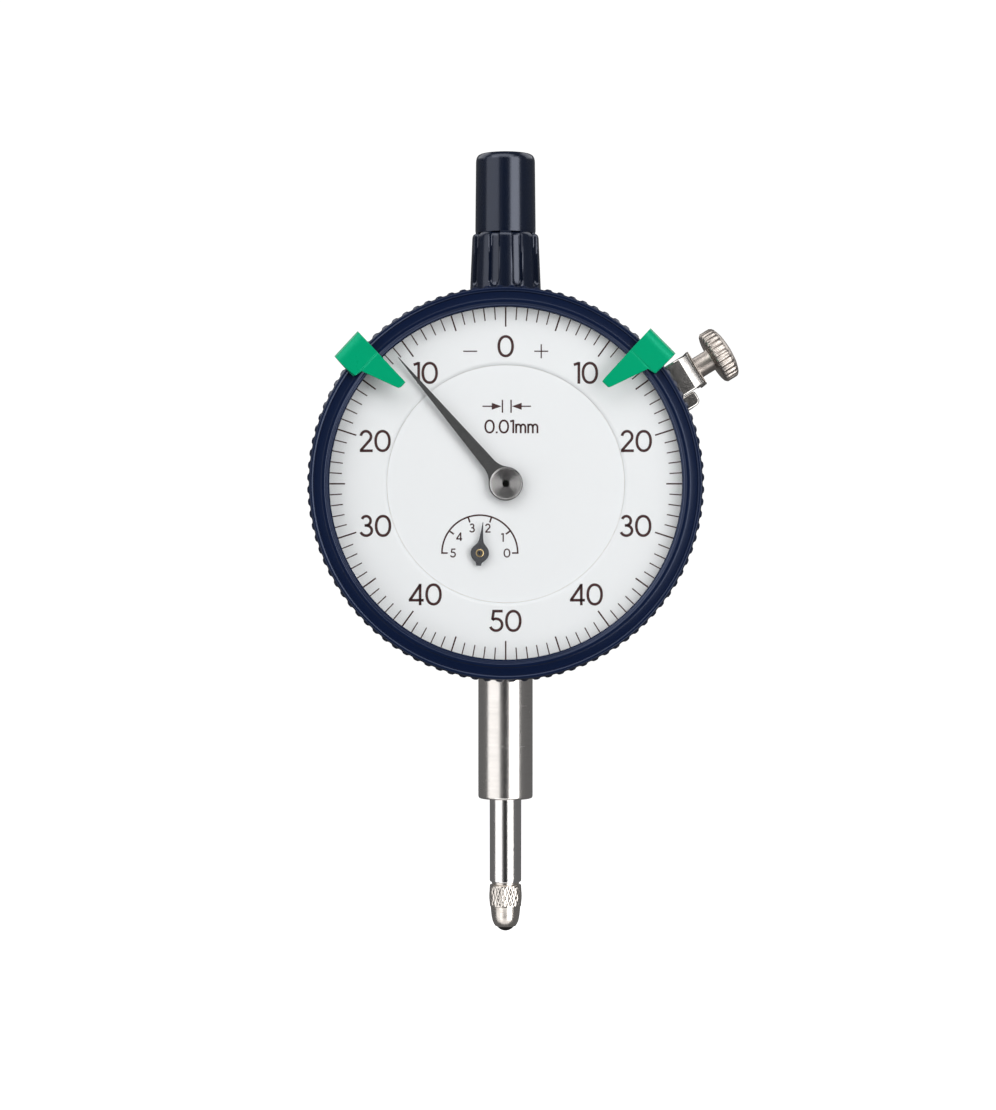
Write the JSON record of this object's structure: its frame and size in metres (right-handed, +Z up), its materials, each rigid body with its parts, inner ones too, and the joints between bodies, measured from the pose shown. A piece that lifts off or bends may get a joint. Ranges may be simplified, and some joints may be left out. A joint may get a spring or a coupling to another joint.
{
  "type": "dial indicator",
  "caption": "Plunger dial indicator with a rotating bezel, sliding limit markers, a revolution counter, a round clamping stem and a flat hanging lug on its back.",
  "frame": {"origin": "on the spindle's axis, at the middle of the stem's clamping length", "axes": "+Z up along the spindle towards the cap, -Y out of the dial's face, +X to the right seen from the front"},
  "size_m": [0.0625, 0.0373, 0.114],
  "materials": {
    "navy_enamel": "satin",
    "bright_steel": "ground",
    "warm_nickel": "worn nickel plate",
    "turned_silver": "fine turned",
    "movement_brass": "machined",
    "blued_spring": "tempered",
    "cap_plastic": "gloss",
    "contact_steel": "polished",
    "hand_black": "matte",
    "dial_white": "matte",
    "crystal_clear": "clear",
    "seal_rubber": "matte",
    "marker_green": "satin"
  },
  "bodies": {
    "case": {"case_body": "navy_enamel", "back_cover": "navy_enamel", "back_gasket": "seal_rubber", "back_screw_1": "bright_steel", "back_screw_2": "bright_steel", "back_screw_3": "bright_steel", "back_screw_4": "bright_steel", "stem": "bright_steel", "lower_bushing": "movement_brass", "upper_bushing": "movement_brass", "spindle_cap": "cap_plastic", "movement_front_plate": "movement_brass", "movement_bridge": "movement_brass", "rear_bridge": "movement_brass", "pillar_1": "movement_brass", "pillar_2": "movement_brass", "pillar_3": "movement_brass", "rear_pillar_1": "movement_brass", "rear_pillar_2": "movement_brass", "plate_screw_1": "bright_steel", "plate_screw_2": "bright_steel", "plate_screw_3": "bright_steel", "hairspring": "blued_spring", "hairspring_stud": "movement_brass", "guide_block": "movement_brass", "return_spring": "bright_steel", "spring_anchor_post": "bright_steel", "inner_dial": "dial_white", "dial_spacer": "movement_brass", "clamp_base": "warm_nickel", "clamp_bracket": "warm_nickel", "clamp_fixing_screw": "bright_steel"},
    "spindle": {"spindle": "bright_steel", "spindle_stop_ring": "bright_steel", "guide_pin": "bright_steel", "contact_point": "warm_nickel", "contact_ball": "contact_steel"},
    "counter_arbor": {"counter_arbor": "bright_steel", "rack_pinion": "bright_steel", "transfer_wheel": "movement_brass", "counter_hand": "hand_black"},
    "centre_arbor": {"centre_arbor": "bright_steel", "centre_pinion": "bright_steel", "main_pointer": "hand_black", "pointer_hub": "turned_silver"},
    "take_up_arbor": {"take_up_arbor": "bright_steel", "take_up_wheel": "movement_brass", "hairspring_collet": "movement_brass"},
    "bezel": {"bezel_ring": "navy_enamel", "crystal": "crystal_clear", "crystal_gasket": "seal_rubber", "dial_ring": "dial_white", "bezel_retaining_wire": "bright_steel"},
    "marker_left": {"marker_left": "marker_green"},
    "marker_right": {"marker_right": "marker_green"},
    "clamp_shoe": {"clamp_shoe": "movement_brass"},
    "clamp_thumbscrew": {"clamp_thumbscrew": "warm_nickel"}
  },
  "joints": [
    {"name": "spindle_slide", "type": "slide", "parent": "case", "child": "spindle", "axis": [0, 0, 1], "range_m": [-0.00245, 0.00275], "stiffness_N_per_m": 20, "springref_m": -0.05, "deforming": ["return_spring"]},
    {"name": "counter_turn", "type": "hinge", "parent": "case", "child": "counter_arbor", "pos_m": [-0.0037, 0, 0.0271], "axis": [0, 1, 0], "range_deg": [-100, 90]},
    {"name": "pointer_turn", "type": "hinge", "parent": "case", "child": "centre_arbor", "pos_m": [0, 0, 0.037], "axis": [0, 1, 0], "range_deg": [-900, 1000]},
    {"name": "take_up_turn", "type": "hinge", "parent": "case", "child": "take_up_arbor", "pos_m": [0.0037, 0, 0.0469], "axis": [0, 1, 0], "range_deg": [-100, 90]},
    {"name": "bezel_turn", "type": "hinge", "parent": "case", "child": "bezel", "pos_m": [0, 0, 0.037], "axis": [0, 1, 0], "continuous": true},
    {"name": "marker_left_turn", "type": "hinge", "parent": "bezel", "child": "marker_left", "pos_m": [0, 0, 0.037], "axis": [0, 1, 0], "range_deg": [-100, 35]},
    {"name": "marker_right_turn", "type": "hinge", "parent": "bezel", "child": "marker_right", "pos_m": [0, 0, 0.037], "axis": [0, 1, 0], "range_deg": [-35, 100]},
    {"name": "shoe_slide", "type": "slide", "parent": "case", "child": "clamp_shoe", "axis": [0.8526, 0, 0.5225], "range_m": [0, 0.0005]},
    {"name": "thumbscrew_turn", "type": "hinge", "parent": "clamp_shoe", "child": "clamp_thumbscrew", "pos_m": [0.02387, -0.0007, 0.05163], "axis": [0.8526, 0, 0.5225], "range_deg": [-1, 361]}
  ],
  "couplings": [
    {"joint": "counter_turn", "follows": "spindle_slide", "rad_per_m": -628.32},
    {"joint": "pointer_turn", "follows": "spindle_slide", "rad_per_m": 6283.2},
    {"joint": "take_up_turn", "follows": "spindle_slide", "rad_per_m": -628.32},
    {"joint": "thumbscrew_turn", "follows": "shoe_slide", "rad_per_m": 12566}
  ]
}
